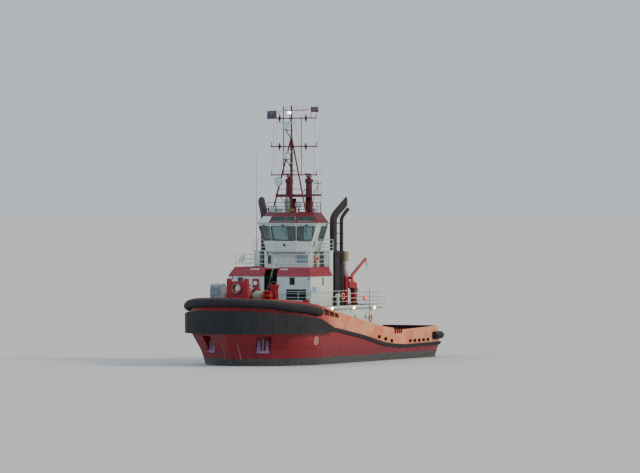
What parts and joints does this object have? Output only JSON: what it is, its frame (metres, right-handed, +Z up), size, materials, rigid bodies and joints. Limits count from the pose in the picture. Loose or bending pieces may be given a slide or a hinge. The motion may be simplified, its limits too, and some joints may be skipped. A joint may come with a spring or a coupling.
{
  "type": "tugboat",
  "caption": "Red escort tugboat afloat, with heavy bow fenders, white deckhouses, a flared wheelhouse, tall lattice mast, twin black funnels and azimuth thrusters.",
  "frame": {"origin": "on the centreline at the waterline, amidships", "axes": "+X to the bow, +Y to port, +Z up"},
  "size_m": [38.9195, 13.4186, 31.1],
  "materials": {
    "hull_red": "semi-gloss marine enamel",
    "fender_rubber": "moulded black rubber, scuffed",
    "superstructure_white": "gloss marine enamel",
    "deck_paint": "matt non-slip deck paint",
    "topside_maroon": "semi-gloss marine enamel",
    "funnel_black": "matt heat-resistant paint",
    "window_glass": "toughened float glass",
    "console_black": "matt moulded and upholstered",
    "pale_blue_gloss": "gloss gelcoat",
    "bare_steel": "worn bare steel",
    "canvas_cover": "proofed canvas",
    "propeller_bronze": "machined bronze",
    "flag_cloth": "woven bunting"
  },
  "bodies": {
    "ship": {"hull": "hull_red", "bulwark": "hull_red", "bow_roll_fender": "fender_rubber", "bow_block_fender": "fender_rubber", "rubbing_strake": "fender_rubber", "stern_fender": "fender_rubber", "main_deck_house": "superstructure_white", "boat_deck": "deck_paint", "deckhouse": "superstructure_white", "upper_deck": "topside_maroon", "stairs": "funnel_black", "lower_bridge_house": "superstructure_white", "wheelhouse": "superstructure_white", "wheelhouse_glass": "window_glass", "wheelhouse_roof": "topside_maroon", "bridge_furniture": "console_black", "mast": "topside_maroon", "monitor_towers": "topside_maroon", "funnel_port": "funnel_black", "funnel_starboard": "funnel_black", "crane_pedestal": "hull_red", "life_rafts": "superstructure_white", "towing_staple": "hull_red", "bow_winch_frame": "hull_red", "reel_cover": "canvas_cover", "aft_winch_frame": "hull_red", "tow_hook_base": "hull_red", "stern_bitts": "hull_red", "anchor_port": "bare_steel", "anchor_starboard": "bare_steel", "upper_rail_port": "superstructure_white", "upper_rail_starboard": "superstructure_white", "boat_deck_rail": "superstructure_white", "bridge_rail": "superstructure_white", "roof_rail": "topside_maroon", "flag_port": "flag_cloth", "flag_starboard": "flag_cloth"},
    "house_door_port": {"house_door_port": "superstructure_white"},
    "house_door_starboard": {"house_door_starboard": "superstructure_white"},
    "deckhouse_door": {"deckhouse_door": "superstructure_white"},
    "wheelhouse_door": {"wheelhouse_door": "superstructure_white"},
    "radar_upper": {"radar_upper": "pale_blue_gloss"},
    "radar_lower": {"radar_lower": "pale_blue_gloss"},
    "searchlight_port": {"searchlight_port": "pale_blue_gloss"},
    "searchlight_starboard": {"searchlight_starboard": "pale_blue_gloss"},
    "monitor_port": {"monitor_port": "topside_maroon"},
    "monitor_starboard": {"monitor_starboard": "topside_maroon"},
    "monitor_barrel_port": {"monitor_barrel_port": "topside_maroon"},
    "monitor_barrel_starboard": {"monitor_barrel_starboard": "topside_maroon"},
    "crane_column": {"crane_column": "hull_red"},
    "crane_boom": {"crane_boom": "hull_red"},
    "bow_winch_drum": {"bow_winch_drum": "bare_steel"},
    "aft_winch_drum": {"aft_winch_drum": "bare_steel"},
    "tow_hook": {"tow_hook": "bare_steel"},
    "hatch_lid": {"hatch_lid": "deck_paint"},
    "thruster_port": {"thruster_port": "hull_red"},
    "thruster_starboard": {"thruster_starboard": "hull_red"},
    "propeller_port": {"propeller_port": "propeller_bronze"},
    "propeller_starboard": {"propeller_starboard": "propeller_bronze"},
    "bow_propeller": {"bow_propeller": "propeller_bronze"}
  },
  "joints": [
    {"name": "house_door_port_hinge", "type": "hinge", "parent": "ship", "child": "house_door_port", "pos_m": [-6.3, 4.492, 2.775], "axis": [0, 0, -1], "range_deg": [0, 110]},
    {"name": "house_door_starboard_hinge", "type": "hinge", "parent": "ship", "child": "house_door_starboard", "pos_m": [-6.3, -4.492, 2.775], "axis": [0, 0, 1], "range_deg": [0, 110]},
    {"name": "deckhouse_door_hinge", "type": "hinge", "parent": "ship", "child": "deckhouse_door", "pos_m": [-1.8, 0.392, 6.875], "axis": [0, 0, -1], "range_deg": [0, 110]},
    {"name": "wheelhouse_door_hinge", "type": "hinge", "parent": "ship", "child": "wheelhouse_door", "pos_m": [1, -1.292, 12.25], "axis": [0, 0, 1], "range_deg": [0, 110]},
    {"name": "radar_upper_spin", "type": "hinge", "parent": "ship", "child": "radar_upper", "pos_m": [5.05, 0, 23.605], "axis": [0, 0, 1], "continuous": true},
    {"name": "radar_lower_spin", "type": "hinge", "parent": "ship", "child": "radar_lower", "pos_m": [5.05, 0, 20.695], "axis": [0, 0, 1], "continuous": true},
    {"name": "searchlight_port_pan", "type": "hinge", "parent": "ship", "child": "searchlight_port", "pos_m": [4.5, 1.1, 15.3], "axis": [0, 0, 1], "range_deg": [-170, 170]},
    {"name": "searchlight_starboard_pan", "type": "hinge", "parent": "ship", "child": "searchlight_starboard", "pos_m": [4.85, -0.894, 17.5], "axis": [0, 0, 1], "range_deg": [-170, 170]},
    {"name": "monitor_port_yaw", "type": "hinge", "parent": "ship", "child": "monitor_port", "pos_m": [2.2, 1.1, 18.3], "axis": [0, 0, 1], "range_deg": [-160, 160]},
    {"name": "monitor_starboard_yaw", "type": "hinge", "parent": "ship", "child": "monitor_starboard", "pos_m": [2.2, -1.1, 18.3], "axis": [0, 0, 1], "range_deg": [-160, 160]},
    {"name": "monitor_barrel_port_pitch", "type": "hinge", "parent": "monitor_port", "child": "monitor_barrel_port", "pos_m": [2.2, 1.1, 18.668], "axis": [0, -1, 0], "range_deg": [-10, 60]},
    {"name": "monitor_barrel_starboard_pitch", "type": "hinge", "parent": "monitor_starboard", "child": "monitor_barrel_starboard", "pos_m": [2.2, -1.1, 18.668], "axis": [0, -1, 0], "range_deg": [-10, 60]},
    {"name": "crane_slew", "type": "hinge", "parent": "ship", "child": "crane_column", "pos_m": [-1.785, 4.15, 7], "axis": [0, 0, 1], "range_deg": [-150, 80]},
    {"name": "crane_luff", "type": "hinge", "parent": "crane_column", "child": "crane_boom", "pos_m": [-0.885, 4.15, 8.3], "axis": [0, 1, 0], "range_deg": [-33, 40]},
    {"name": "bow_winch_turn", "type": "hinge", "parent": "ship", "child": "bow_winch_drum", "pos_m": [12.5, 0, 6.7], "axis": [0, 1, 0], "continuous": true},
    {"name": "aft_winch_turn", "type": "hinge", "parent": "ship", "child": "aft_winch_drum", "pos_m": [-8.6, 0, 2.55], "axis": [0, 1, 0], "continuous": true},
    {"name": "tow_hook_swing", "type": "hinge", "parent": "ship", "child": "tow_hook", "pos_m": [-7.15, 0, 2.54], "axis": [0, 0, 1], "range_deg": [-75, 75]},
    {"name": "hatch_lid_hinge", "type": "hinge", "parent": "ship", "child": "hatch_lid", "pos_m": [-11.2, 0, 1.9], "axis": [0, 1, 0], "range_deg": [0, 100]},
    {"name": "thruster_port_steer", "type": "hinge", "parent": "ship", "child": "thruster_port", "pos_m": [-13.2, 2.9, -3], "axis": [0, 0, 1], "continuous": true},
    {"name": "thruster_starboard_steer", "type": "hinge", "parent": "ship", "child": "thruster_starboard", "pos_m": [-13.2, -2.9, -3], "axis": [0, 0, 1], "continuous": true},
    {"name": "propeller_port_shaft", "type": "hinge", "parent": "thruster_port", "child": "propeller_port", "pos_m": [-14, 2.9, -4.4], "axis": [1, 0, 0], "continuous": true},
    {"name": "propeller_starboard_shaft", "type": "hinge", "parent": "thruster_starboard", "child": "propeller_starboard", "pos_m": [-14, -2.9, -4.4], "axis": [1, 0, 0], "continuous": true},
    {"name": "bow_propeller_shaft", "type": "hinge", "parent": "ship", "child": "bow_propeller", "pos_m": [10.5, 0.45, -2.3], "axis": [0, 1, 0], "continuous": true}
  ]
}
